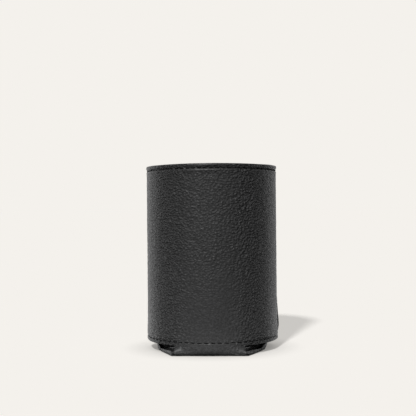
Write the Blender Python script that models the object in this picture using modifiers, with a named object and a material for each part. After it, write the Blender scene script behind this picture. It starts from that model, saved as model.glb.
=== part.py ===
"""Can cooler sleeve: a leather cover and a foam lining of one cut, each folded up from its base into a tube.

The cut is a long strip. Its middle is the eight-sided base, a narrow neck at the front and at the back folds
up from it, and each neck widens into a panel that is half of the round wall. The panels' edges meet at two
side seams, and four slots stay open where the base's slanting edges pass under the wall.
Metres, +Z up. The origin is the middle of the underside, and the front faces -Y.
"""

import math

import bmesh
import bpy
import numpy as np
from mathutils import Vector

# Driving dimensions
WALL_RADIUS = 0.0374  # outer face of the leather
SLEEVE_HEIGHT = 0.1050  # underside of the base to the top edge
WALL_BOTTOM = 0.0053  # height of the wall's lower edge
LEATHER = 0.0013
FOAM = 0.0027
LAYER_CLEARANCE = 0.0003  # between the leather and the foam
NECK_RELIEF = 0.0006  # how much further the foam folds up inside the necks
SEAM_GAP = 0.0004  # between the two panels' edges at a side seam

BASE_FRONT_WIDTH = 0.0428  # straight front and back edges of the base
BASE_DEPTH = 0.0680  # front edge to back edge
BASE_WIDTH = 0.0616  # side edge to side edge
BASE_SIDE_LENGTH = 0.0220  # straight side edges of the base
NECK_WIDTH = 0.0390  # the neck that joins a panel to the base

RIM_HEIGHT = 0.0027  # the base's edge, turned up under the slots
TONGUE_HEIGHT = 0.0080  # the side edge rises inside the wall, where the seam holds it
TONGUE_SHOULDER = 0.0050  # its height at the base's side corners
TONGUE_START = 0.75  # where on the slanting edge its rise begins

TOP_STITCH_INSET = 0.0023  # stitch row to the top edge
HEM_STITCH_INSET = 0.0018  # stitch row to the wall's lower edge
STITCH_DIP = 0.0003  # how far the thread pulls the leather's face in
STITCH_DIP_HALF = 0.0007  # half the height of that dip

SEAM_FLARE = 0.0005  # the panels' edges stand out a little low on the seam
FLARE_TOP = 0.0340  # height at which the flare has gone
FLARE_WIDTH = 0.0045  # measured round the wall

NECK_COLUMNS = 7  # facets from the middle of a panel to the neck's edge
SIDE_COLUMNS = 13  # facets from the neck's edge to the seam
FLARE_ROWS = 3

# Modelling settings
ON_PLANE = 0.00002  # a vertex this near a mirror plane lies on it
NEARLY_FLAT = 0.06  # faces that turn less than this share are taken as one
SHARP_ANGLE = 30  # degrees

# Worked out from them
NECK_ANGLE = math.asin(NECK_WIDTH / 2 / WALL_RADIUS)
SEAM_ANGLE = math.pi / 2 - SEAM_GAP / 2 / WALL_RADIUS
FRONT = -BASE_DEPTH / 2
FOAM_INSET = LEATHER + LAYER_CLEARANCE
# How far the rim beside the neck leans in over its height.
RIM_LEAN = (-WALL_RADIUS * math.cos(NECK_ANGLE) - FRONT) * RIM_HEIGHT / WALL_BOTTOM


def clear_scene():
    for obj in list(bpy.data.objects):
        bpy.data.objects.remove(obj)


def new_collection(name):
    made = bpy.data.collections.new(name)
    bpy.context.scene.collection.children.link(made)
    return made


def new_material(name, colour, roughness):
    made = bpy.data.materials.new(name)
    made.use_nodes = True
    shader = made.node_tree.nodes["Principled BSDF"]
    shader.inputs["Base Color"].default_value = (*colour, 1.0)
    shader.inputs["Roughness"].default_value = roughness
    shader.inputs["Metallic"].default_value = 0.0
    made.diffuse_color = (*colour, 1.0)
    made.roughness = roughness
    return made


def mix(a, b, share):
    return a + (b - a) * share


def smooth_step(share):
    share = min(max(share, 0.0), 1.0)
    return share * share * (3 - 2 * share)


def wall_point(angle, height):
    """A point on the wall. The angle is 0 at the front and runs towards +X."""
    return (WALL_RADIUS * math.sin(angle), -WALL_RADIUS * math.cos(angle), height)


def wall_push(angle, height):
    """How far the panel's edge stands out beside the seam."""
    fade = 1 - smooth_step((height - WALL_BOTTOM) / (FLARE_TOP - WALL_BOTTOM))
    from_seam = (SEAM_ANGLE - angle) * WALL_RADIUS / FLARE_WIDTH
    return SEAM_FLARE * fade * math.exp(-from_seam * from_seam)


def wall_rows():
    """The rows above the wall's lower edge, as (height, dip), for a plain wall and for a stitched one."""

    def stitch_row(height):
        return [
            (height - STITCH_DIP_HALF, 0.0),
            (height, STITCH_DIP),
            (height + STITCH_DIP_HALF, 0.0),
        ]

    hem = stitch_row(WALL_BOTTOM + HEM_STITCH_INSET)
    top = stitch_row(SLEEVE_HEIGHT - TOP_STITCH_INSET)
    start = hem[-1][0]
    plain = [
        (mix(start, FLARE_TOP, row / FLARE_ROWS), 0.0)
        for row in range(1, FLARE_ROWS + 1)
    ]
    edge = [(SLEEVE_HEIGHT, 0.0)]
    return plain + edge, hem + plain + top + edge


def panel_angles():
    neck = [NECK_ANGLE * i / NECK_COLUMNS for i in range(NECK_COLUMNS + 1)]
    side = [
        mix(NECK_ANGLE, SEAM_ANGLE, i / SIDE_COLUMNS)
        for i in range(1, SIDE_COLUMNS + 1)
    ]
    return neck, side


def base_outline(inset, front_inset):
    """The quarter base's corners past the neck, as (x, y), with its edges moved in."""
    front_x = BASE_FRONT_WIDTH / 2
    side_x = BASE_WIDTH / 2
    slope = (side_x - front_x) / (-BASE_SIDE_LENGTH / 2 - FRONT)
    shift = inset * math.hypot(1.0, slope)
    corner_x = front_x + slope * front_inset - shift
    corner_y = FRONT + (side_x - inset - front_x + shift) / slope
    return [
        (corner_x, FRONT + front_inset),
        (side_x - inset, corner_y),
        (side_x - inset, 0.0),
    ]


def add_chain(mesh, points, start=()):
    """Vertices at the points, joined by edges, going on from the start vertices."""
    chain = list(start) + [mesh.verts.new(point) for point in points]
    for a, b in zip(chain, chain[1:]):
        if mesh.edges.get((a, b)) is None:
            mesh.edges.new((a, b))
    return chain


def extrude_chain(mesh, chain, points):
    """Extrudes the chain's edges to the points, and returns the new chain."""
    edges = [mesh.edges.get(pair) for pair in zip(chain, chain[1:])]
    made = bmesh.ops.extrude_edge_only(mesh, edges=edges)["geom"]
    found = {tuple(v.co): v for v in made if isinstance(v, bmesh.types.BMVert)}
    new_chain = [found[tuple(v.co)] for v in chain]
    for vert, point in zip(new_chain, points):
        vert.co = point
    return new_chain


def rim_points(neck_angles, outline):
    """The rim's upper edge. By the neck it leans the way the neck goes, and elsewhere it stands upright."""
    share = RIM_HEIGHT / WALL_BOTTOM
    leaning = []
    for angle in neck_angles:
        x, y, _ = wall_point(angle, 0.0)
        leaning.append((x, mix(FRONT, y, share), RIM_HEIGHT))
    corner, turn, side, middle = outline
    lean = RIM_LEAN / (turn[1] - corner[1])
    leaning_corner = [mix(a, b, lean) for a, b in zip(corner, turn)]
    return leaning + [
        (*leaning_corner, RIM_HEIGHT),
        (*turn, RIM_HEIGHT),
        (*side, TONGUE_SHOULDER),
        (*middle, TONGUE_HEIGHT),
    ]


def quarter_sheet(front, outline, rows, with_rim):
    """A quarter of the cut, folded: the open outer face of base, rim, neck and panel at +X and -Y.

    Each vertex of the wall also keeps how far it is pushed out by the flare or dips in under a stitch."""
    mesh = bmesh.new()
    push = mesh.verts.layers.float.new("push")
    dip = mesh.verts.layers.float.new("dip")
    neck_angles, side_angles = panel_angles()
    angles = neck_angles + side_angles

    # The base, from its middle out to its edge.
    front_edge = [(wall_point(angle, 0.0)[0], front, 0.0) for angle in neck_angles]
    chain = add_chain(mesh, front_edge + [(*point, 0.0) for point in outline])
    centre = mesh.verts.new((0.0, 0.0, 0.0))
    mesh.faces.new([centre, *chain])

    # The rim, then the neck up to the wall's lower edge.
    if with_rim:
        chain = extrude_chain(mesh, chain, rim_points(neck_angles, outline))
    neck_top = [wall_point(angle, WALL_BOTTOM) for angle in neck_angles]
    chain = extrude_chain(mesh, chain[: len(neck_angles)], neck_top)

    # The panel: its lower edge runs on past the neck, and its rows rise from there.
    chain = add_chain(mesh, [wall_point(a, WALL_BOTTOM) for a in side_angles], chain)
    for vert, angle in zip(chain, angles):
        vert[push] = wall_push(angle, WALL_BOTTOM)
    for height, row_dip in rows:
        chain = extrude_chain(mesh, chain, [wall_point(a, height) for a in angles])
        for vert, angle in zip(chain, angles):
            vert[push] = wall_push(angle, height)
            vert[dip] = row_dip

    bmesh.ops.recalc_face_normals(mesh, faces=mesh.faces)
    if centre.link_faces[0].normal.z > 0:
        bmesh.ops.reverse_faces(mesh, faces=mesh.faces)
    return mesh


def inward_move(vert):
    """The move that takes every face beside this vertex in by 1, as if the other quarters were there."""
    normals = [tuple(face.normal) for face in vert.link_faces]
    if abs(vert.co.x) < ON_PLANE:
        normals += [(-x, y, z) for x, y, z in normals]
    if abs(vert.co.y) < SEAM_GAP:
        normals += [(x, -y, z) for x, y, z in normals]
    reach = np.linalg.pinv(np.array(normals), rcond=NEARLY_FLAT)
    move = Vector(-reach @ np.ones(len(normals)))
    if vert.co.z == 0.0:
        move.z = 1.0  # the base stays flat
    return move


def thicken(mesh, inset, thickness):
    """Moves the open sheet in by the inset and gives it a second face, closed at its cut edges."""
    inward = mesh.verts.layers.float_vector.new("inward")
    push = mesh.verts.layers.float["push"]
    dip = mesh.verts.layers.float["dip"]
    for vert in mesh.verts:
        vert[inward] = inward_move(vert)

    geometry = mesh.faces[:] + mesh.edges[:]
    made = bmesh.ops.extrude_face_region(mesh, geom=geometry, use_keep_orig=True)
    inner = {item for item in made["geom"] if isinstance(item, bmesh.types.BMVert)}
    for vert in mesh.verts:
        depth = inset + (thickness if vert in inner else vert[dip])
        radial = Vector((vert.co.x, vert.co.y, 0.0)).normalized()
        vert.co += vert[inward] * depth + radial * vert[push]

    # Where the quarters meet there is no cut edge.
    def on_plane(face):
        return any(all(abs(v.co[i]) < ON_PLANE for v in face.verts) for i in (0, 1))

    walls = [face for face in mesh.faces if on_plane(face)]
    bmesh.ops.delete(mesh, geom=walls, context="FACES")
    bmesh.ops.recalc_face_normals(mesh, faces=mesh.faces)


def layer(collection, name, mesh, inset, thickness, material):
    """One layer of the sleeve: a quarter of the folded cut given its thickness, then mirrored."""
    thicken(mesh, inset, thickness)
    data = bpy.data.meshes.new(name)
    mesh.to_mesh(data)
    mesh.free()
    data.materials.append(material)
    data.shade_smooth()
    data.set_sharp_from_angle(angle=math.radians(SHARP_ANGLE))

    obj = bpy.data.objects.new(name, data)
    collection.objects.link(obj)
    mirror = obj.modifiers.new("four_quarters", "MIRROR")
    mirror.use_axis = (True, True, False)
    mirror.use_clip = True
    mirror.merge_threshold = ON_PLANE
    return obj


def build():
    clear_scene()
    parts = new_collection("can_cooler_sleeve")
    leather = new_material("black_leather", (0.035, 0.035, 0.036), 0.5)
    foam = new_material("black_foam", (0.012, 0.012, 0.013), 0.9)
    plain_rows, grooved_rows = wall_rows()

    corner, side, middle = base_outline(0.0, 0.0)
    turn = tuple(mix(a, b, TONGUE_START) for a, b in zip(corner, side))
    cover = quarter_sheet(FRONT, [corner, turn, side, middle], grooved_rows, True)
    layer(parts, "leather_cover", cover, 0.0, LEATHER, leather)

    # The foam's floor is cut to fit inside the rim.
    rim_slant = math.hypot(RIM_LEAN, RIM_HEIGHT) / RIM_HEIGHT
    floor = base_outline(FOAM_INSET, RIM_LEAN + FOAM_INSET * rim_slant)
    lining = quarter_sheet(FRONT + NECK_RELIEF, floor, plain_rows, False)
    layer(parts, "foam_lining", lining, FOAM_INSET, FOAM, foam)


build()
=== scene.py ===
import math
import random

import bmesh
import bpy
import numpy as np
from mathutils import Matrix, Quaternion, Vector, noise


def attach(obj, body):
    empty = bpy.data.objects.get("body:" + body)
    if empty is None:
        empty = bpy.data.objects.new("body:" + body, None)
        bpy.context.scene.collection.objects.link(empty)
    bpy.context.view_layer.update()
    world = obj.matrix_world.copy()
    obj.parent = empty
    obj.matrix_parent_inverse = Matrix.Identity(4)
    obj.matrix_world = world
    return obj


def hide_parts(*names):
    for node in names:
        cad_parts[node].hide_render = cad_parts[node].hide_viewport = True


# An empty can cooler sleeve: pebbled leather over knit-faced foam, each folded up from one flat cut.
# Metres, +Z up, the front faces -Y.
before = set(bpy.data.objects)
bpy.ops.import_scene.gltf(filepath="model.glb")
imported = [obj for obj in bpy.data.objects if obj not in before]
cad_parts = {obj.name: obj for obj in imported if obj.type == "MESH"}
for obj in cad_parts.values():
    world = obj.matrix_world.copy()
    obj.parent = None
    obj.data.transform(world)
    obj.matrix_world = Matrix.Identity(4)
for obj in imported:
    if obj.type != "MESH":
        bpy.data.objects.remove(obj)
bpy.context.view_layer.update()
print("frame loaded:", sorted(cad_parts))


camera = {
    "distance": 0.551,  # from the sleeve's middle line
    "height": 0.083,  # above the table
    "azimuth": 2.7,  # degrees from the front, towards +X
    "turnLeft": 0.2115,  # degrees, from the middle line
    "pitch": -0.24,  # degrees above level
    "roll": -0.5,  # degrees
    "lens": 82.04,  # millimetres, as the sensor
    "sensor": 36.0,
    "clipStart": 0.01,
}


def makeCamera(c):
    data = bpy.data.cameras.new("view")
    data.lens = c["lens"]
    data.sensor_width = c["sensor"]
    data.clip_start = c["clipStart"]
    obj = bpy.data.objects.new("view", data)
    bpy.context.scene.collection.objects.link(obj)
    side = math.radians(c["azimuth"])
    obj.location = (c["distance"] * math.sin(side), -c["distance"] * math.cos(side), c["height"])
    heading = side + math.radians(c["turnLeft"])
    pitch = math.radians(c["pitch"])
    level = math.cos(pitch)
    aim = Vector((-math.sin(heading) * level, math.cos(heading) * level, math.sin(pitch)))
    roll = Quaternion((0, 0, 1), math.radians(c["roll"]))
    obj.rotation_mode = "QUATERNION"
    obj.rotation_quaternion = aim.to_track_quat("-Z", "Y") @ roll
    bpy.context.scene.camera = obj


makeCamera(camera)
bpy.context.scene.view_settings.view_transform = "Standard"
print("camera placed")


class Wire:
    # an output socket that can stand in a sum: each operator adds a Math node
    def __init__(self, finish, socket):
        self.finish = finish
        self.socket = socket

    def __add__(self, other):
        return self.finish.maths("ADD", self, other)

    def __sub__(self, other):
        return self.finish.maths("SUBTRACT", self, other)

    def __rsub__(self, other):
        return self.finish.maths("SUBTRACT", other, self)

    def __mul__(self, other):
        return self.finish.maths("MULTIPLY", self, other)

    def __truediv__(self, other):
        return self.finish.maths("DIVIDE", self, other)

    def __rtruediv__(self, other):
        return self.finish.maths("DIVIDE", other, self)

    __radd__ = __add__
    __rmul__ = __mul__


class Finish:
    # one material: fixed values go on its shader, and nodes feed what changes over the surface
    def __init__(self, name, shader):
        self.material = bpy.data.materials.new(name)
        self.material.use_nodes = True
        self.tree = self.material.node_tree
        self.shader = self.tree.nodes["Principled BSDF"]
        for socket, value in shader.items():
            self.shader.inputs[socket].default_value = value

    def node(self, kind, settings=None, inputs=None, output=0):
        made = self.tree.nodes.new(kind)
        for name, value in (settings or {}).items():
            setattr(made, name, value)
        for name, value in (inputs or {}).items():
            self.feed(made.inputs[name], value)
        return Wire(self, made.outputs[output])

    def feed(self, socket, value):
        if isinstance(value, Wire):
            self.tree.links.new(value.socket, socket)
        else:
            socket.default_value = value

    def maths(self, operation, a, b=0.0):
        return self.node("ShaderNodeMath", {"operation": operation}, {0: a, 1: b})

    def vector(self, operation, a, b):
        return self.node("ShaderNodeVectorMath", {"operation": operation}, {0: a, 1: b})

    def axes(self, where):
        # the three numbers of a vector
        first = self.node("ShaderNodeSeparateXYZ", None, {"Vector": where})
        return [Wire(self, socket) for socket in first.socket.node.outputs]

    def ramp(self, value, low, high):
        # 0 at low, 1 at high, eased
        settings = {"interpolation_type": "SMOOTHSTEP"}
        inputs = {"Value": value, "From Min": low, "From Max": high}
        return self.node("ShaderNodeMapRange", settings, inputs)

    def blend(self, share, a, b):
        # Mix keeps a socket set for each data type; 6 and 7 are its colours
        return self.node("ShaderNodeMix", {"data_type": "RGBA"}, {0: share, 6: a, 7: b}, 2)

    def place(self, scale=(1.0, 1.0, 1.0)):
        # output 3 is the Object coordinates
        spot = self.node("ShaderNodeTexCoord", output=3)
        return self.node("ShaderNodeMapping", None, {"Vector": spot, "Scale": scale})

    def uvMap(self, name):
        return self.node("ShaderNodeUVMap", {"uv_map": name})

    def noise(self, where, scale, detail=2.0, roughness=0.5, output=0):
        # scale is the number of waves to a metre; output 1 is a colour
        inputs = {"Vector": where, "Scale": scale, "Detail": detail, "Roughness": roughness}
        return self.node("ShaderNodeTexNoise", None, inputs, output)

    def cells(self, where, scale, feature="DISTANCE_TO_EDGE"):
        return self.node("ShaderNodeTexVoronoi", {"feature": feature}, {"Vector": where, "Scale": scale})

    def set(self, **inputs):
        for socket, value in inputs.items():
            self.feed(self.shader.inputs[socket.replace("_", " ")], value)

    def bump(self, height, relief):
        self.set(Normal=self.node("ShaderNodeBump", None, {"Height": height, "Distance": relief}))

    def twoTone(self, look, tone, wear, height):
        # dark to light by the tone, which for the knit, the cut foam and the thread is painted shade in
        # their hollows; the wear varies the roughness
        self.set(
            Base_Color=self.blend(tone, look["dark"], look["light"]),
            Roughness=look["roughness"] + wear * look["roughnessSpread"],
        )
        self.bump(height, look["relief"])
        return self.material


def keep(bm, name, materials):
    data = bpy.data.meshes.new(name)
    bm.to_mesh(data)
    bm.free()
    for material in materials:
        data.materials.append(material)
    obj = bpy.data.objects.new(name, data)
    bpy.context.scene.collection.objects.link(obj)
    return obj


studio = {
    "floorHalf": 12.0,
    "floorShader": {"Specular IOR Level": 0.0, "Roughness": 0.9, "Emission Strength": 1.0},
    "floorColour": (0.687, 0.667, 0.636),
    "floorShade": 0.995,  # of that colour, in the paint's darker patches
    "floorPatches": 3.0,  # to a metre
    "floorGlow": (0.579, 0.5627, 0.5367),  # the table's own even light, which thins the shadow
    "paintedShadowReach": 0.018,  # how far round the sleeve that glow is dimmed, as a painted contact shadow
    "paintedShadowShare": 0.35,  # the share of the glow that is left right beside the sleeve, in that painted shadow
    "paintedShadowRays": 8,  # how many test whether a place is open
    "room": (0.02, 0.02, 0.02),  # what other light is left in the room
    "behindColour": (0.905, 0.88, 0.839),  # what shows past the floor's far edge
    # degrees left of the front, elevation, how wide the lamp looks, strength
    "key": (13.2, 39.5, 5.0, 2.25),
    # soft cards that light only the sleeve: centre, a point that each faces, its two sides, strength
    # the last four lie on the table and stand for the light that it sends back
    "cards": {
        "left": ((-0.55, 0.62, 0.2), (0, 0, 0.05), (1.0, 0.9), 3.4),
        "right": ((0.52, 0.66, 0.2), (0, 0, 0.05), (0.9, 0.9), 2.3),
        "low": ((0.0, -0.0465, 0.0008), (0, -0.0465, 1.0), (0.08, 0.014), 0.0024),
        "table": ((0.0, 0.0, 0.0012), (0, 0, 1.0), (0.5, 0.5), 0.04),
        "lowLeft": ((-0.12, 0.03, 0.0014), (-0.12, 0.03, 1.0), (0.15, 0.25), 0.035),
        "lowRight": ((0.12, 0.03, 0.0014), (0.12, 0.03, 1.0), (0.15, 0.25), 0.03),
    },
}


def paleFloor(s):
    f = Finish("pale_floor", s["floorShader"])
    # output 1 tells how open a place is: beside the sleeve's foot the table's glow is dimmed, a painted
    # contact shadow
    occlusion = {"samples": s["paintedShadowRays"]}
    bare = f.node("ShaderNodeAmbientOcclusion", occlusion, {"Distance": s["paintedShadowReach"]}, 1)
    full = Vector(s["floorGlow"])
    glowWithPaintedShadow = f.blend(bare, (*(full * s["paintedShadowShare"]), 1.0), (*full, 1.0))
    tone = f.noise(f.place(), s["floorPatches"])
    light = Vector(s["floorColour"])
    dark = light * s["floorShade"]
    f.set(Base_Color=f.blend(tone, (*dark, 1.0), (*light, 1.0)), Emission_Color=glowWithPaintedShadow)
    return f.material


def makeFloor(s):
    bm = bmesh.new()
    bmesh.ops.create_grid(bm, x_segments=4, y_segments=4, size=s["floorHalf"])
    floor = keep(bm, "floor", [paleFloor(s)])
    # the leather takes its light from the lamp and the cards, not from the floor
    floor.visible_diffuse = False
    floor.visible_glossy = False


def makeRoom(s):
    # the camera sees one colour behind the floor, and the sleeve is lit by another
    world = bpy.data.worlds.new("studio")
    bpy.context.scene.world = world
    world.use_nodes = True
    tree = world.node_tree
    room = tree.nodes["Background"]
    room.inputs["Color"].default_value = (*s["room"], 1.0)
    shown = tree.nodes.new("ShaderNodeBackground")
    shown.inputs["Color"].default_value = (*s["behindColour"], 1.0)
    ray = tree.nodes.new("ShaderNodeLightPath")
    either = tree.nodes.new("ShaderNodeMixShader")
    tree.links.new(ray.outputs["Is Camera Ray"], either.inputs[0])
    tree.links.new(room.outputs[0], either.inputs[1])
    tree.links.new(shown.outputs[0], either.inputs[2])
    tree.links.new(either.outputs[0], tree.nodes["World Output"].inputs["Surface"])


def makeLamp(name, kind, place, away, strength):
    data = bpy.data.lights.new(name, kind)
    data.energy = strength
    lamp = bpy.data.objects.new(name, data)
    bpy.context.scene.collection.objects.link(lamp)
    lamp.location = place
    lamp.rotation_mode = "QUATERNION"
    lamp.rotation_quaternion = Vector(away).to_track_quat("Z", "Y")
    return lamp


def makeKey(s):
    left, rise, wide, strength = s["key"]
    azimuth = math.radians(left)
    up = math.radians(rise)
    level = math.cos(up)
    source = Vector((-math.sin(azimuth) * level, -math.cos(azimuth) * level, math.sin(up)))
    key = makeLamp("key", "SUN", source, source, strength)
    key.data.angle = math.radians(wide)


def makeCards(s, pieces):
    # only the sleeve takes light from the cards, so that the table stays even
    lit = bpy.data.collections.new("sleeve")
    for piece in pieces:
        lit.objects.link(piece)
    for name, (place, faces, size, strength) in s["cards"].items():
        away = Vector(place) - Vector(faces)
        card = makeLamp(name + "_card", "AREA", place, away, strength)
        card.data.shape = "RECTANGLE"
        card.data.size, card.data.size_y = size
        card.visible_camera = False
        card.light_linking.receiver_collection = lit


makeFloor(studio)
makeRoom(studio)
makeKey(studio)
print("floor, room and key lamp made")


leatherLook = {
    "shader": {"Specular IOR Level": 0.42, "Coat Weight": 0.38, "Coat Roughness": 0.38},
    "flatten": 1.25,  # pebbles are this much wider than tall
    "pebble": 0.002,  # across one pebble
    "pebbleEdge": 0.4,  # how far in from its edge it is at its full height, in pebbles
    "wrinkle": 0.0009,  # across one fine wrinkle
    "wrinkleEdge": 0.3,
    "drift": 0.0011,  # how far the lines between pebbles wander
    "driftWaves": 500.0,  # to a metre, as the next three
    "lumps": 800.0,
    "pores": 4200.0,
    "patches": 38.0,
    "heights": (0.35, 1.3, 0.04, 0.03),  # of pebbles, lumps, wrinkles and pores
    "raised": (0.5, 1.2),  # total height in a crease and on a pebble's top, which also sets the painted crease shade
    "relief": 0.00066,  # how deep a height of 1 is
    "middleDepth": (0.25, 0.75),  # times that in a panel's middle, low down and further up
    "middleRise": (0.025, 0.06),  # between these heights
    "sideDepth": 2.9,  # times that by the seams
    "sideRise": (0.008, 0.032),  # between these places to either side
    "top": (0.051, 0.051, 0.0515, 1.0),
    # the crease colour is painted shade: the creases are darker than the pebbles' tops
    "crease": (0.034, 0.034, 0.034, 1.0),
    "worn": (0.068, 0.068, 0.069, 1.0),
    "wornPatches": (0.3, 0.75),
    "wornShare": 0.35,
    "smoothRoughness": 0.5,
    "creaseRoughness": 0.7,
    "patchRoughness": 0.12,
}


def pebbledLeather(look):
    f = Finish("pebbled_leather", look["shader"])
    where = f.place((1.0, 1.0, look["flatten"]))
    # the cells' lines wander, as pebbles do
    drift = f.vector("SUBTRACT", f.noise(where, look["driftWaves"], output=1), (0.5, 0.5, 0.5))
    shift = f.vector("MULTIPLY", drift, (look["drift"], look["drift"], look["drift"]))
    wandering = f.vector("ADD", where, shift)
    pebbles = f.ramp(f.cells(wandering, 1 / look["pebble"]), 0.0, look["pebbleEdge"])
    lumps = f.noise(wandering, look["lumps"], detail=0.0)
    wrinkles = f.ramp(f.cells(wandering, 1 / look["wrinkle"]), 0.0, look["wrinkleEdge"])
    pores = f.noise(where, look["pores"], detail=3.0, roughness=0.6)
    patches = f.noise(where, look["patches"], detail=3.0, roughness=0.55)
    pebbleHeight, lumpHeight, wrinkleHeight, poreHeight = look["heights"]
    height = pebbles * pebbleHeight + lumps * lumpHeight + wrinkles * wrinkleHeight + pores * poreHeight
    raised = f.ramp(height, *look["raised"])
    # flatter across the middle of a panel, deeper towards the seams and the top
    sideways, _, upwards = f.axes(f.place())
    side = f.ramp(f.maths("ABSOLUTE", sideways), *look["sideRise"])
    low, high = look["middleDepth"]
    middle = f.ramp(upwards, *look["middleRise"]) * (high - low) + low
    deep = middle * (1 - side) + side * look["sideDepth"]
    worn = f.ramp(patches, *look["wornPatches"]) * raised * look["wornShare"]
    # painted shade: the colour is darker in the creases than on the raised tops; the lighter worn patches
    # on the tops are wear
    colour = f.blend(worn, f.blend(raised, look["crease"], look["top"]), look["worn"])
    smoother = look["smoothRoughness"] - look["creaseRoughness"]
    rough = look["creaseRoughness"] + smoother * raised + (patches - 0.5) * look["patchRoughness"]
    f.set(Base_Color=colour, Roughness=rough)
    f.bump(height * deep, look["relief"])
    return f.material


leatherEdgeLook = {
    "shader": {"Specular IOR Level": 0.25},
    "fibres": 2600.0,  # to a metre, as the next
    "broad": 300.0,
    "broadHeight": 0.5,
    "squash": 3.0,  # fibres are this much longer than tall
    "dark": (0.008, 0.008, 0.008, 1.0),
    "light": (0.02, 0.0195, 0.019, 1.0),
    "roughness": 0.6,
    "roughnessSpread": 0.25,
    "relief": 0.0001,
}


def cutLeatherEdge(look):
    # the dyed edge of the hide: matte, with fibres along it
    f = Finish("dyed_leather_edge", look["shader"])
    fibres = f.noise(f.place((1.0, 1.0, look["squash"])), look["fibres"], detail=4.0, roughness=0.65)
    broad = f.noise(f.place(), look["broad"])
    return f.twoTone(look, fibres, broad, fibres + broad * look["broadHeight"])


knitLook = {
    "shader": {"Specular IOR Level": 0.2, "Sheen Weight": 0.25, "Sheen Roughness": 0.5},
    "wale": 0.00105,  # width of a column of loops
    "course": 0.00085,  # height of one loop
    "lean": 1.5,  # how steeply a loop's legs rise
    "yarn": (0.46, 0.12),  # from beside a leg to its middle
    "column": (0.5, 0.3),  # from between two columns into one
    "lint": 3500.0,  # to a metre, as the next
    "broad": 60.0,
    "lintHeight": 0.35,
    "shade": (0.75, 0.5),  # the least, and what the broad patches add to the painted shade between the loops
    "dark": (0.005, 0.005, 0.0052, 1.0),
    "light": (0.022, 0.022, 0.0225, 1.0),
    "roughness": 0.82,
    "roughnessSpread": 0.14,
    "relief": 0.00022,
}


def knitFace(look):
    # jersey knit: columns of small V loops, on the lining's own map in metres
    f = Finish("knit_face", look["shader"])
    along, up, _ = f.axes(f.uvMap("flatCut"))
    # 0 in a column's middle, 0.5 between two
    across = f.maths("ABSOLUTE", f.maths("FRACT", along / look["wale"]) - 0.5)
    legs = f.maths("ABSOLUTE", f.maths("FRACT", up / look["course"] + across * look["lean"]) - 0.5)
    height = f.ramp(legs, *look["yarn"]) * f.ramp(across, *look["column"])
    lint = f.noise(f.place(), look["lint"], detail=3.0, roughness=0.7)
    least, spread = look["shade"]
    # painted shade: the colour is darker between a loop's legs and between the columns; the broad patches
    # vary it at random
    shade = height * (least + f.noise(f.place(), look["broad"]) * spread)
    return f.twoTone(look, shade, lint, height + lint * look["lintHeight"])


cutFoamLook = {
    "shader": {"Specular IOR Level": 0.2},
    "cells": 3600.0,  # to a metre, as the next
    "broad": 700.0,
    "pit": (0.25, 0.7),  # from a pit's floor to its wall, dark to light: painted shade in the pits
    "broadHeight": 0.4,
    "dark": (0.006, 0.006, 0.0062, 1.0),
    "light": (0.026, 0.026, 0.0265, 1.0),
    "roughness": 0.85,
    "roughnessSpread": 0.1,
    "relief": 0.00012,
}


def cutFoam(look):
    # closed cells, sliced open
    f = Finish("cut_foam", look["shader"])
    pits = f.ramp(f.cells(f.place(), look["cells"], "F1"), *look["pit"])
    broad = f.noise(f.place(), look["broad"])
    # painted shade: the pits' floors are coloured darker than their walls
    return f.twoTone(look, pits, broad, pits + broad * look["broadHeight"])


foamSkinLook = {
    "shader": {"Specular IOR Level": 0.1},
    "waves": 900.0,  # to a metre
    "dark": (0.0015, 0.0015, 0.0015, 1.0),
    "light": (0.004, 0.004, 0.004, 1.0),
    "roughness": 0.85,
    "roughnessSpread": 0.1,
    "relief": 0.0001,
}


def foamBack(look):
    # the foam's skin, against the leather; it only shows through the slots
    f = Finish("foam_skin", look["shader"])
    skin = f.noise(f.place(), look["waves"], detail=3.0, roughness=0.6)
    return f.twoTone(look, skin, skin, skin)


threadLook = {
    "shader": {"Specular IOR Level": 0.15},
    "twist": (5.0, 2.0),  # turns along one unit of the stitch's map, and round its girth
    "fluff": 5000.0,  # to a metre
    "fluffHeight": 0.3,
    "dark": (0.0012, 0.0012, 0.0012, 1.0),
    "light": (0.005, 0.005, 0.0051, 1.0),
    "roughness": 0.5,
    "roughnessSpread": 0.25,
    "relief": 0.00008,
}


def sewingThread(look):
    # two twisted plies, along each stitch's own map
    f = Finish("polyester_thread", look["shader"])
    along, girth, _ = f.axes(f.uvMap("stitch"))
    lengthwise, around = look["twist"]
    twist = f.maths("SINE", (along * lengthwise + girth * around) * math.tau) * 0.5 + 0.5
    fluff = f.noise(f.place(), look["fluff"])
    # painted shade: the grooves between the plies are coloured darker than the plies' crests
    return f.twoTone(look, twist, fluff, twist + fluff * look["fluffHeight"])


tiny = 0.000001  # points nearer than this are one

# The outer face of each layer once it is folded up. The lining's cut is smaller and has no turned-up edge.
leatherCut = {
    "radius": 0.0374,
    "height": 0.1052,
    "wallBottom": 0.0053,
    "underside": 0.0,
    "neckHalf": 0.0195,
    "upright": 0.6,  # 0 has the neck's middle lean evenly, 1 turns it in only at its foot
    "footTurn": 4,  # how sharply it turns in there
    "sideTurn": 3,  # how soon the neck's sides lean out
    "front": -0.0356,
    "frontHalf": 0.0209,
    "sideHalf": 0.0311,
    "sideStart": -0.0128,  # where the slanting edge meets the side edge
    "rimHeight": 0.0028,
    "rimLow": 0.0021,  # the rim is a little lower where the slot ends
    "rimWeld": 0.00004,  # the rim's points nearer than this are one
    "tongueShoulder": 0.005,
    "tongueHeight": 0.008,
    "tongueStart": 0.75,  # as a share of the slanting edge
    "seamHalf": 0.0002,
    "liningFace": 0.0331,  # radius of the lining's inner face; the tongues lean out to it
    "step": 0.0014,  # across a face
    "fine": 0.0009,  # between rows at the folds
    "weld": 0.00001,  # where the mirrored quarters meet
}
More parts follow.
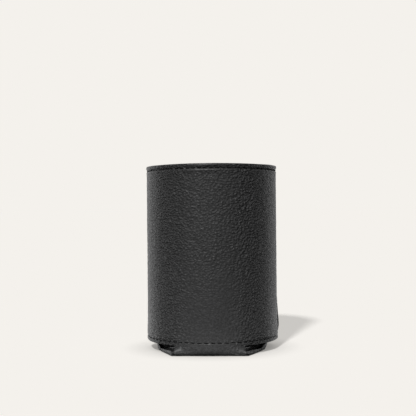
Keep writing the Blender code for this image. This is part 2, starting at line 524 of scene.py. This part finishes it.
foamCut = dict(
    leatherCut,
    radius=0.0358,
    height=0.105,
    underside=0.0016,
    wallBottom=0.0056,
    neckHalf=0.0187,
    front=-0.0338,
    frontHalf=0.0202,
    sideHalf=0.0292,
    rimHeight=0.0,
    seamHalf=0.00004,
    step=0.0016,
)


def mix(a, b, share):
    return a + (b - a) * share


def ease(share):
    # 0 to 1 with a soft start and end, of a number or an array
    share = np.clip(share, 0.0, 1.0)
    return share * share * (3 - 2 * share)


def dent(x, width):
    # 1 at 0, and next to nothing past two widths
    return np.exp(-((x / width) ** 2))


def evenSteps(start, end, step):
    count = max(1, round(abs(end - start) / step))
    return [mix(start, end, i / count) for i in range(1, count + 1)]


def slantShare(cut, y):
    # 0 at the base's front edge, 1 where its slanting edge ends
    return (y - cut["front"]) / (cut["sideStart"] - cut["front"])


def halfWidth(cut, y):
    # half width of the base at this depth
    return mix(cut["frontHalf"], cut["sideHalf"], min(max(slantShare(cut, y), 0.0), 1.0))


def rimTop(cut, y):
    # the base's edge is turned up, and rises into a tongue at the side seam
    share = slantShare(cut, y)
    start = cut["tongueStart"]
    if share <= start:
        return mix(cut["rimHeight"], cut["rimLow"], ease(share / start))
    if share <= 1.0:
        return mix(cut["rimLow"], cut["tongueShoulder"], (share - start) / (1 - start))
    return mix(cut["tongueShoulder"], cut["tongueHeight"], ease(1 - y / cut["sideStart"]))


def tongueReach(cut, point):
    # inside the wall the turned-up edge leans out until it meets the lining
    if point.y < cut["sideStart"]:
        return point.x
    return max(point.x, math.sqrt(cut["liningFace"] ** 2 - point.y**2))


def pullOut(bm, chain, points):
    # extrudes a chain of edges and sets the new one on the points
    edges = [bm.edges.get(pair) for pair in zip(chain, chain[1:])]
    made = bmesh.ops.extrude_edge_only(bm, edges=edges)["geom"]
    found = {tuple(v.co): v for v in made if isinstance(v, bmesh.types.BMVert)}
    new = [found[tuple(v.co)] for v in chain]
    for vert, point in zip(new, points):
        vert.co = point
    return new


def makePanel(bm, cut, heights):
    # the panel's middle line, spun to the neck's edge and on to the side seam
    radius = cut["radius"]
    neckAngle = math.asin(cut["neckHalf"] / radius)
    seamAngle = math.pi / 2 - cut["seamHalf"] / radius
    line = [bm.verts.new((0.0, -radius, z)) for z in heights]
    geometry = line + [bm.edges.new(pair) for pair in zip(line, line[1:])]
    for angle in (neckAngle, seamAngle - neckAngle):
        spun = bmesh.ops.spin(
            bm, geom=geometry, cent=(0, 0, 0), axis=(0, 0, 1), dvec=(0, 0, 0),
            angle=angle, steps=round(angle * radius / cut["step"]), use_merge=False, use_duplicate=False,
        )
        geometry = spun["geom_last"]
    bmesh.ops.remove_doubles(bm, verts=bm.verts, dist=tiny)


def makeNeck(bm, cut):
    # the foot of the panel, pulled down and in to the base's front edge
    wallBottom, underside, rimHeight = cut["wallBottom"], cut["underside"], cut["rimHeight"]
    foot = [v for v in bm.verts if v.co.z < wallBottom + tiny and v.co.x < cut["neckHalf"] + tiny]
    chain = sorted(foot, key=lambda v: v.co.x)
    starts = [v.co.copy() for v in chain]
    drop = evenSteps(wallBottom, underside, cut["fine"])
    if rimHeight:
        drop = evenSteps(wallBottom, rimHeight, cut["fine"]) + evenSteps(rimHeight, underside, cut["fine"])
    wingTop = underside + max(rimHeight, tiny) + tiny
    edgeLine = []
    for z in drop:
        # upright in the middle, where only its foot turns under; its sides lean out to the straight edge
        down = (wallBottom - z) / (wallBottom - underside)
        middle = mix(down, down ** cut["footTurn"], cut["upright"])
        side = 1 - (1 - down) ** cut["sideTurn"]
        points = []
        for p in starts:
            share = mix(middle, side, ease(p.x / cut["neckHalf"]))
            points.append((p.x, mix(p.y, cut["front"], share), z))
        chain = pullOut(bm, chain, points)
        if z <= wingTop:
            edgeLine.append(chain[-1])
    return chain, edgeLine


def makeBaseStrip(bm, cut, chain):
    # the base between the necks, back to the sleeve's middle
    edgeLine = []
    for y in evenSteps(cut["front"], 0.0, cut["step"]):
        chain = pullOut(bm, chain, [(v.co.x, y, cut["underside"]) for v in chain])
        edgeLine.append(chain[-1])
    return edgeLine


def makeWing(bm, cut, edgeLine):
    # the base beside the strip, and the rim in front of it
    starts = [v.co.copy() for v in edgeLine]
    columns = max(3, round((cut["sideHalf"] - cut["neckHalf"]) / cut["step"]))
    for column in range(1, columns + 1):
        share = column / columns
        points = []
        for p in starts:
            if p.z > cut["underside"] + tiny:
                points.append((mix(p.x, cut["frontHalf"], share), mix(p.y, cut["front"], share), p.z))
            else:
                points.append((mix(p.x, halfWidth(cut, p.y), share), p.y, p.z))
        edgeLine = pullOut(bm, edgeLine, points)
    return edgeLine


def makeRim(bm, cut, edgeLine):
    # the rim and the side tongue, turned up along the wing's edge
    rise = len([v for v in edgeLine if v.co.z > tiny])
    foot = edgeLine[rise:]
    starts = [v.co.copy() for v in foot]
    for row in range(1, rise + 1):
        share = row / rise
        points = [(mix(p.x, tongueReach(cut, p), share), p.y, rimTop(cut, p.y) * share) for p in starts]
        foot = pullOut(bm, foot, points)
    bmesh.ops.remove_doubles(bm, verts=bm.verts, dist=cut["rimWeld"])


def wholeCut(cut, heights):
    # a quarter of the cut, mirrored twice
    bm = bmesh.new()
    makePanel(bm, cut, heights)
    chain, edgeLine = makeNeck(bm, cut)
    edgeLine = makeWing(bm, cut, edgeLine + makeBaseStrip(bm, cut, chain))
    if cut["rimHeight"]:
        makeRim(bm, cut, edgeLine)
    for axis in ("X", "Y"):
        bmesh.ops.mirror(
            bm, geom=bm.verts[:] + bm.edges[:] + bm.faces[:],
            matrix=Matrix.Identity(4), merge_dist=cut["weld"], axis=axis,
        )
    bmesh.ops.remove_doubles(bm, verts=bm.verts, dist=cut["weld"])
    bmesh.ops.recalc_face_normals(bm, faces=bm.faces)
    bm.faces.ensure_lookup_table()
    # the outer side of the base looks down
    baseFace = min(bm.faces, key=lambda face: face.calc_center_median().length)
    if baseFace.normal.z > 0:
        bmesh.ops.reverse_faces(bm, faces=bm.faces)
    return bm


def relax(bm, verts, turns):
    # rounds a fold; a cut edge keeps its line
    free = [v for v in verts if not v.is_boundary]
    for _ in range(turns):
        bmesh.ops.smooth_vert(bm, verts=free, factor=0.5, use_axis_x=True, use_axis_y=True, use_axis_z=True)


def giveThickness(bm, thickness):
    # the modifier keeps the thickness even; faces come back as 0 outer, 1 inner, 2 cut edge
    data = bpy.data.meshes.new("sheet")
    bm.to_mesh(data)
    bm.free()
    for _ in range(3):
        data.materials.append(None)
    obj = bpy.data.objects.new("sheet", data)
    bpy.context.scene.collection.objects.link(obj)
    wall = obj.modifiers.new("wall", "SOLIDIFY")
    wall.thickness = thickness
    wall.offset = -1.0
    wall.use_even_offset = True
    wall.use_quality_normals = True
    wall.material_offset = 1
    wall.material_offset_rim = 2
    bpy.context.view_layer.update()
    evaluated = obj.evaluated_get(bpy.context.evaluated_depsgraph_get())
    solid = bmesh.new()
    solid.from_mesh(evaluated.to_mesh())
    evaluated.to_mesh_clear()
    bpy.data.objects.remove(obj)
    bpy.data.meshes.remove(data)
    return solid


def roundCutEdges(bm, side, offset, segments):
    # bevels the edges between a cut face and the outer or inner face beside it
    edges = [
        e for e in bm.edges
        if len(e.link_faces) == 2 and {f.material_index for f in e.link_faces} == {2, side}
    ]
    rounded = bmesh.ops.bevel(
        bm, geom=edges, offset=offset, offset_type="OFFSET", segments=segments, profile=0.5,
        affect="EDGES", material=-1, clamp_overlap=True, loop_slide=True,
    )
    for f in rounded["faces"]:
        f.material_index = side


def vertsOfSide(bm, side):
    return [v for v in bm.verts if any(f.material_index == side for f in v.link_faces)]


cover = {
    "thickness": 0.0013,
    "edgeRound": 0.0004,
    "foldTop": 0.0062,  # the folds lie below this
    "foldTurns": 5,  # how often they are smoothed
    "foldClear": 0.0002,  # but not beside the line where front and back meet
    "cornerLow": 0.0012,  # nor on the flat strip by a slot's inner end, above this
    "cornerReach": 0.0006,
    "roundFrom": 0.0005,  # from this far above its lower edge the wall's new points are set on its round
    "chordDepth": 0.00001,  # if they lie less than this inside it
    # rows are closer together where the stitches pull the leather in
    "closeRows": 0.00052,
    "hemBand": 0.0034,  # up to this far above the wall's lower edge
    "topBand": 0.1002,  # and from this height on
    # a row's phase is how many pitches before the front's middle its groove is deepest
    "top": {"height": 0.1027, "pitch": 0.0033, "phase": 0.0, "depth": 0.00055},
    "hem": {"height": 0.0074, "pitch": 0.00373, "phase": 0.25, "depth": 0.00024},
    "sideDip": 0.00065,  # the top edge is lower at the seams
    "rowDip": 0.0001,  # and its row a little more so
    "dipFrom": 0.08,  # it sets in from this height, over this far
    "dipRise": 0.02,
    "grooveHalf": 0.0005,
    "grooveEven": 0.6,  # the share of a groove that runs on between stitches
    "pucker": 0.00034,  # how far the leather swells below the top row
    "puckerDrop": 0.0013,
    "puckerHalf": 0.0009,
    "puckerEven": 0.7,
    "gatherPlace": -0.004,  # the thread gathers it most here on the front and back
    "gatherHalf": 0.016,
    "gatherLeast": 0.25,
    "bandHeight": 0.1043,  # the turned band above the top row stands a little proud
    "bandHalf": 0.0007,
    "bandProud": 0.0003,
    "slack": 0.00008,  # the wall isn't quite true
    "slackWaves": (34.0, 80.0),  # to a metre
    "slackFrom": (0.008, 0.02),  # it sets in from this height, over this far
    "slackTo": (0.103, 0.01),
    "grain": 0.00015,  # depth of the pebbles that are in the mesh
    "grainSize": 0.0029,
    "grainFlatten": 1.25,
    "grainEdge": 0.55,  # a pebble is at its full height this far in, in pebbles
    "grainLevel": 0.6,  # pebbles stand out above this, and creases sink in below it
    "creaseWaves": 0.8,  # to a pebble
    "creasePlace": (7.0, 3.0, 5.0),
    "creaseHalf": 0.3,  # how soon the leather is level again beside a crease
    "smoothTop": 0.0016,  # the leather is pressed smoother this near its top edge
    "smoothFoot": 0.0004,  # and up to this far below the lower row
    "smoothFade": 0.001,
    "smoothFootGrain": 0.25,
    "smoothLeast": 0.2,
    # sideways place, height, lean and depth of each wrinkle
    "wrinkles": (
        (0.0182, 0.0042, 0.3, 0.00024),
        (0.0163, 0.0052, -0.2, 0.0003),
        (0.0146, 0.0056, 0.25, 0.00026),
        (0.013, 0.0056, -0.3, 0.0002),
    ),
    "wrinkleHalf": (0.00055, 0.0011),  # half width and half height
    "wrinkleDepth": 0.03,  # they are on the necks, further from the middle than this
    "clear": 0.00004,  # the pebbles are pressed flat on the table
    "wallFade": 0.0012,  # what moves the wall fades out over this far below its lower edge
    "wallInside": 0.0025,  # the base and the tongues are this much nearer to the middle
    "hemFrom": 0.004,  # the lower row's groove ends at this height
    "flare": 0.0005,  # the panels' edges stand out low on the side seams
    "flareTop": 0.034,
    "flareWidth": 0.0045,
    "flareInside": 0.0029,  # points this much nearer to the middle aren't of the wall
    "flareFoot": 0.0001,  # nor are those this far below its lower edge
    "backFlare": 0.0014,  # and the back panel's further, on the right
    "backFlareFrom": 0.006,
    "backFlareRise": 0.008,
}


def rowHeights(cut, c):
    heights = [cut["wallBottom"]]
    for end, gap in (
        (cut["wallBottom"] + c["hemBand"], c["closeRows"]),
        (c["topBand"], cut["step"]),
        (cut["height"], c["closeRows"]),
    ):
        heights += evenSteps(heights[-1], end, gap)
    return heights


def stitchGroove(row, height, pucker, around, z, c):
    # the thread draws the leather in along its row, and the leather swells below it
    stitch = 0.5 + 0.5 * np.cos(math.tau * (around / row["pitch"] + row["phase"]))
    groove = dent(z - height, c["grooveHalf"]) * (c["grooveEven"] + (1 - c["grooveEven"]) * stitch)
    swell = dent(height - z - c["puckerDrop"], c["puckerHalf"])
    swell = swell * (c["puckerEven"] + (1 - c["puckerEven"]) * stitch)
    return -row["depth"] * groove + pucker * swell


def wallSlack(points, c):
    broad, fine = c["slackWaves"]
    slack = np.array([
        noise.noise(Vector(p) * broad) + 0.5 * noise.noise(Vector(p) * fine) for p in points
    ])
    z = points[:, 2]
    (low, lowFade), (high, highFade) = c["slackFrom"], c["slackTo"]
    middle = np.clip((z - low) / lowFade, 0, 1) * np.clip((high - z) / highFade, 0, 1)
    return c["slack"] * slack * middle


def pebbleHeights(points, c):
    # raised between the lines where cells meet, and parted by wandering creases
    size = np.array([1.0, 1.0, c["grainFlatten"]]) / c["grainSize"]
    near = np.array([noise.voronoi(Vector(p * size))[0][:2] for p in points])
    pebble = ease((near[:, 1] - near[:, 0]) / c["grainEdge"])
    place = Vector(c["creasePlace"])
    crease = np.array([abs(noise.noise(Vector(p * size * c["creaseWaves"]) + place)) for p in points])
    return 0.5 * pebble + 0.5 * np.clip(crease / c["creaseHalf"], 0, 1)


def coverRelief(points, c, cut):
    # how far each point of the outer face moves along its normal
    x, y, z = points.T
    around = np.arctan2(x, -y) * cut["radius"]
    inside = np.hypot(x, y) < cut["radius"] - c["wallInside"]
    onWall = np.clip((z - cut["wallBottom"] + c["wallFade"]) / c["wallFade"], 0, 1)
    onWall = np.where(inside, 0.0, onWall)

    top = c["top"]["height"] - c["rowDip"] * (x / cut["radius"]) ** 2
    pucker = c["pucker"] * (c["gatherLeast"] + dent(x - c["gatherPlace"], c["gatherHalf"]))
    move = stitchGroove(c["top"], top, pucker, around, z, c) * onWall
    hem = stitchGroove(c["hem"], c["hem"]["height"], 0.0, around, z, c)
    move = move + hem * np.where(inside, 0.0, 1.0) * (z > c["hemFrom"])
    move = move + c["bandProud"] * dent(z - c["bandHeight"], c["bandHalf"]) * onWall
    move = move + wallSlack(points, c) * onWall

    fade = c["smoothFade"]
    smooth = np.clip((cut["height"] - c["smoothTop"] - z) / fade, 0, 1)
    smoothFoot = np.clip((z - c["hem"]["height"] + c["smoothFoot"]) / fade, c["smoothFootGrain"], 1)
    smooth = smooth * np.where(onWall > 0, smoothFoot, 1)
    grain = c["grain"] * (pebbleHeights(points, c) - c["grainLevel"])
    move = move + grain * (c["smoothLeast"] + (1 - c["smoothLeast"]) * smooth)

    # it wrinkles where the neck turns under, beside the slots
    onNeck = np.abs(y) > c["wrinkleDepth"]
    halfWide, halfHigh = c["wrinkleHalf"]
    for centre, height, lean, depth in c["wrinkles"]:
        across = np.abs(x) - centre - lean * (z - height)
        move = move + depth * dent(across, halfWide) * dent(z - height, halfHigh) * onNeck
    return move


def seamFlare(points, c, cut):
    # how far the panels' edges stand out
    x, y, z = points.T
    fade = 1 - ease((z - cut["wallBottom"]) / (c["flareTop"] - cut["wallBottom"]))
    fromSeam = (np.pi / 2 - np.arctan2(np.abs(x), np.abs(y))) * cut["radius"]
    onWall = np.hypot(x, y) > cut["radius"] - c["flareInside"]
    onWall = onWall & (z > cut["wallBottom"] - c["flareFoot"])
    back = c["backFlare"] * ease((z - c["backFlareFrom"]) / c["backFlareRise"])
    flare = np.where((x > 0) & (y > 0), back, c["flare"])
    return np.where(onWall, flare * fade * dent(fromSeam, c["flareWidth"]), 0.0)


def topDip(points, c, cut):
    x, _, z = points.T
    return c["sideDip"] * (x / cut["radius"]) ** 2 * ease((z - c["dipFrom"]) / c["dipRise"])


def onFold(point, c, cut):
    x, y, z = abs(point.x), abs(point.y), point.z
    reach = c["cornerReach"]
    onCorner = z > c["cornerLow"] and y > abs(cut["front"]) - reach and x > cut["neckHalf"] - reach
    return z < c["foldTop"] and y > c["foldClear"] and not onCorner


def makeFiner(bm, c, cut):
    # the outer face is made finer, so that the grain is in the mesh, and the wall is kept round
    outer = {e for f in bm.faces if f.material_index == 0 for e in f.edges}
    bmesh.ops.subdivide_edges(bm, edges=list(outer), cuts=1, use_grid_fill=True)
    radius = cut["radius"]
    for v in bm.verts:
        reach = math.hypot(v.co.x, v.co.y)
        if v.co.z > cut["wallBottom"] + c["roundFrom"] and radius - c["chordDepth"] < reach < radius:
            v.co.x *= radius / reach
            v.co.y *= radius / reach
    bm.normal_update()


def makeCover(c, cut):
    sheet = wholeCut(cut, rowHeights(cut, c))
    relax(sheet, [v for v in sheet.verts if onFold(v.co, c, cut)], c["foldTurns"])
    bm = giveThickness(sheet, c["thickness"])
    roundCutEdges(bm, 0, c["edgeRound"], 2)
    makeFiner(bm, c, cut)

    face = vertsOfSide(bm, 0)
    for v, move in zip(face, coverRelief(np.array([v.co for v in face]), c, cut)):
        v.co += v.normal * float(move)
    points = np.array([v.co for v in bm.verts])
    for v, push in zip(bm.verts, seamFlare(points, c, cut)):
        if push:
            v.co += Vector((v.co.x, v.co.y, 0)).normalized() * float(push)
    points = np.array([v.co for v in bm.verts])
    for v, dip in zip(bm.verts, topDip(points, c, cut)):
        v.co.z = max(v.co.z - float(dip), c["clear"])

    for f in bm.faces:
        f.smooth = True
        f.material_index = 1 if f.material_index == 2 else 0
    finishes = [pebbledLeather(leatherLook), cutLeatherEdge(leatherEdgeLook)]
    obj = keep(bm, "pebbled_leather_cover", finishes)
    obj.data.set_sharp_from_angle(angle=math.radians(50))
    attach(obj, "root")
    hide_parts("leather_cover")
    return obj


coverPiece = makeCover(cover, leatherCut)
cutEdgeFaces = sum(p.material_index for p in coverPiece.data.polygons)
print("leather cover:", len(coverPiece.data.polygons), "faces,", cutEdgeFaces, "of its cut edge")


lining = {
    "thickness": 0.0027,
    "edgeRound": 0.0007,  # at the inner face
    "outerRound": 0.0003,
    "closeFrom": 0.1,  # from this height on rows are closer together
    "foldTop": 0.0075,
    "foldTurns": 4,
    "foldClear": 0.0002,
    "wallInside": 0.0016,  # the floor's points are this much nearer to the middle
    "wallFrom": 0.006,
    "topPinch": 0.0005,  # the stitches squeeze the foam
    "pinchHalf": 0.0011,
    "pinchEven": 0.7,  # the share of that between stitches
    "seamDip": 0.0006,  # the foam sinks in where the panels' edges meet
    "seamHalf": 0.0013,
    "ripple": 0.00011,
    "rippleWaves": 42.0,  # to a metre
    "rippleTop": 0.3,  # the share of it above the close rows
    "floorTilt": 0.7,  # faces that point further up or down than this are mapped from above
}


def liningMove(point, c, cut):
    # how far a point of the inner face moves along its normal
    x, y, z = point
    move = 0.0
    if math.hypot(x, y) > cut["liningFace"] - c["wallInside"] and z > c["wallFrom"]:
        row = cover["top"]
        around = math.atan2(x, -y) * cut["radius"]
        stitch = 0.5 + 0.5 * math.cos(math.tau * around / row["pitch"])
        pinch = c["pinchEven"] + (1 - c["pinchEven"]) * stitch
        move -= c["topPinch"] * float(dent(z - row["height"], c["pinchHalf"])) * pinch
        move -= c["seamDip"] * float(dent(y, c["seamHalf"]))
    share = 1.0 if z < c["closeFrom"] else c["rippleTop"]
    return move + c["ripple"] * noise.noise(point * c["rippleWaves"]) * share


def layFlat(f, flat, c, cut):
    # the lining's map in metres: round the wall and up it, or across the floor
    upright = abs(f.normal.z) < c["floorTilt"]
    back = f.calc_center_median().y > 0
    for loop in f.loops:
        x, y, z = loop.vert.co
        if upright:
            angle = math.atan2(-x, y) if back else math.atan2(x, -y)
            loop[flat].uv = (angle * cut["liningFace"], z)
        else:
            loop[flat].uv = (x, abs(y) - cut["liningFace"])


def makeLining(c, cut):
    heights = [cut["wallBottom"]] + evenSteps(cut["wallBottom"], c["closeFrom"], cut["step"])
    heights += evenSteps(c["closeFrom"], cut["height"], cut["fine"])
    sheet = wholeCut(cut, heights)
    folds = [v for v in sheet.verts if v.co.z < c["foldTop"] and abs(v.co.y) > c["foldClear"]]
    relax(sheet, folds, c["foldTurns"])
    bm = giveThickness(sheet, c["thickness"])
    roundCutEdges(bm, 1, c["edgeRound"], 3)
    roundCutEdges(bm, 0, c["outerRound"], 1)
    bm.normal_update()
    for v in vertsOfSide(bm, 1):
        v.co += v.normal * liningMove(v.co, c, cut)

    flat = bm.loops.layers.uv.new("flatCut")
    for f in bm.faces:
        layFlat(f, flat, c, cut)
        f.smooth = True
        f.material_index = (2, 0, 1)[f.material_index]
    finishes = [knitFace(knitLook), cutFoam(cutFoamLook), foamBack(foamSkinLook)]
    obj = keep(bm, "knit_faced_foam_lining", finishes)
    obj.data.set_sharp_from_angle(angle=math.radians(60))
    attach(obj, "root")
    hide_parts("foam_lining")
    return obj


liningPiece = makeLining(lining, foamCut)
print("foam lining:", len(liningPiece.data.polygons), "faces")


thread = {
    "half": 0.00027,  # half the thread's thickness
    "hemHalf": 0.00033,  # the hem's thread is thicker
    "seamHalf": 0.000243,  # and the seams' is thinner
    "gap": 0.0008,  # between two stitches, where the thread goes in
    "slant": 5.0,  # degrees
    "sunk": 0.00028,  # below the leather's face
    "innerSunk": 0.0003,  # below the lining's face
    "outerPhase": 0.5,  # pitches from the front's middle to the middle of a stitch
    "innerPhase": 0.0,
    "seamFrom": 0.0105,
    "seamTo": 0.1012,
    "seamPitch": 0.0027,
    "seamLength": 0.0022,  # of a bar across the side seam
    "seamSunk": 0.0011,
    "seamSlant": 8.0,
    "seamInnerSunk": 0.0001,
    "seamInnerSlant": 38.0,  # one way and the other by turns
    "round": (8, 6),  # faces round a stitch and along it
    "blunt": 0.8,  # a stitch is fuller towards its ends than an egg
    "mapLength": 0.003,  # of thread, to two units of the stitch's map
    "slantDraw": 2.5,  # degrees either way
    "heightDraw": 0.00006,
    "lengthDraw": (0.95, 1.04),
}


def oneStitch(t, length, half):
    bm = bmesh.new()
    uv = bm.loops.layers.uv.new("stitch")
    around, along = t["round"]
    lengthwise = Matrix.Rotation(math.pi / 2, 4, "Y")
    bmesh.ops.create_uvsphere(bm, u_segments=around, v_segments=along, radius=1.0, matrix=lengthwise)
    for v in bm.verts:
        v.co.x = math.copysign(abs(v.co.x) ** t["blunt"], v.co.x)
    for f in bm.faces:
        f.smooth = True
        for loop in f.loops:
            p = loop.vert.co
            loop[uv].uv = (p.x * length / t["mapLength"], math.atan2(p.z, p.y) / math.tau)
    bmesh.ops.scale(bm, verts=bm.verts, vec=(length / 2, half, half))
    return bm


def sew(t, name, spots, length, half, material):
    # each spot is (angle, height, radius, slant in degrees); the stitch lies along the wall
    single = oneStitch(t, length, half)
    data = bpy.data.meshes.new("stitch")
    single.to_mesh(data)
    single.free()
    bm = bmesh.new()
    draw = random.Random(name)
    for angle, height, radius, slant in spots:
        first = len(bm.verts)
        bm.from_mesh(data)
        bm.verts.ensure_lookup_table()
        tilt = math.radians(slant + draw.uniform(-t["slantDraw"], t["slantDraw"]))
        rise = height + draw.uniform(-t["heightDraw"], t["heightDraw"])
        place = (
            Matrix.Rotation(angle, 4, "Z")
            @ Matrix.Translation((0, -radius, rise))
            @ Matrix.Rotation(tilt, 4, "Y")
            @ Matrix.Diagonal((draw.uniform(*t["lengthDraw"]), 1, 1, 1))
        )
        bmesh.ops.transform(bm, matrix=place, verts=bm.verts[first:])
    bpy.data.meshes.remove(data)
    obj = keep(bm, name, [material])
    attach(obj, "root")
    return obj


def rowSpots(cut, row, phase, radius, slant, dip=0.0):
    count = round(math.tau * cut["radius"] / row["pitch"])
    angles = [(i + phase) * math.tau / count for i in range(count)]
    return [(angle, row["height"] - dip * math.sin(angle) ** 2, radius, slant) for angle in angles]


def seamSpots(t, cut):
    # bars across both side seams outside, and a zigzag inside
    spots = []
    height = t["seamFrom"]
    slant = t["seamInnerSlant"]
    while height < t["seamTo"]:
        for angle in (math.pi / 2, -math.pi / 2):
            spots.append((angle, height, cut["radius"] - t["seamSunk"], t["seamSlant"]))
            spots.append((angle, height, cut["liningFace"] + t["seamInnerSunk"], slant))
        slant = -slant
        height += t["seamPitch"]
    return spots


def makeThread(t, c, cut):
    material = sewingThread(threadLook)
    made = []
    for name, row, dip, half in (
        ("top_edge_stitches", c["top"], c["sideDip"] + c["rowDip"], t["half"]),
        ("hem_stitches", c["hem"], 0.0, t["hemHalf"]),
    ):
        spots = rowSpots(cut, row, t["outerPhase"], cut["radius"] - t["sunk"], t["slant"], dip)
        spots += rowSpots(cut, row, t["innerPhase"], cut["liningFace"] + t["innerSunk"], t["slant"])
        made.append(sew(t, name, spots, row["pitch"] - t["gap"], half, material))
    seam = seamSpots(t, cut)
    made.append(sew(t, "side_seam_stitches", seam, t["seamLength"], t["seamHalf"], material))
    return made


threadPieces = makeThread(thread, cover, leatherCut)
print("stitched")

makeCards(studio, [coverPiece, liningPiece] + threadPieces)
print("cards set up")
